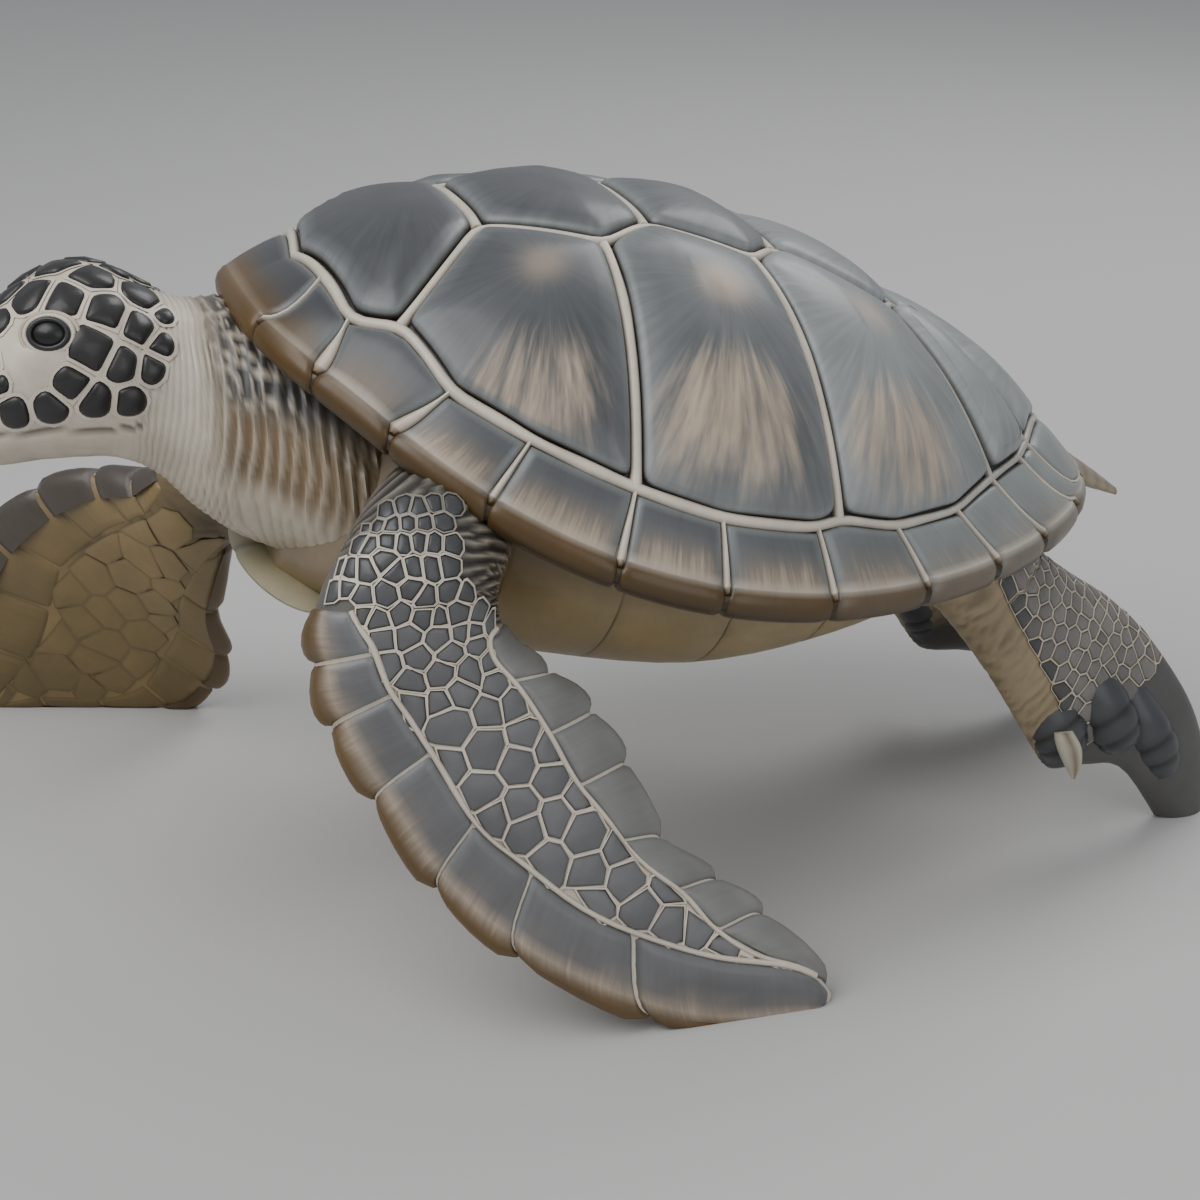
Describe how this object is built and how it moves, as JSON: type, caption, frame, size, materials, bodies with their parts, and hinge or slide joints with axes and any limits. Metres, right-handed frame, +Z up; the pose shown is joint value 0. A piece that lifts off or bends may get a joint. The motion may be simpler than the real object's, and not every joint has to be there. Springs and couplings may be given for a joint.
{
  "type": "sea turtle statue",
  "caption": "Sea turtle figure cast in one piece, standing on its front flippers and hind feet with its head raised; a free-standing decorative statue.",
  "frame": {"origin": "on the ground, below the middle of the figure's bounding box", "axes": "+X to the turtle's left, +Y from its head to its tail, +Z up"},
  "size_m": [0.654, 0.8916, 0.4827],
  "materials": {
    "painted_resin": "hand-painted cast resin under a satin-gloss lacquer: slate shell and scales, cream seams, tan and olive-brown shading"
  },
  "bodies": {
    "root": {"sea_turtle": "painted_resin"}
  },
  "joints": []
}
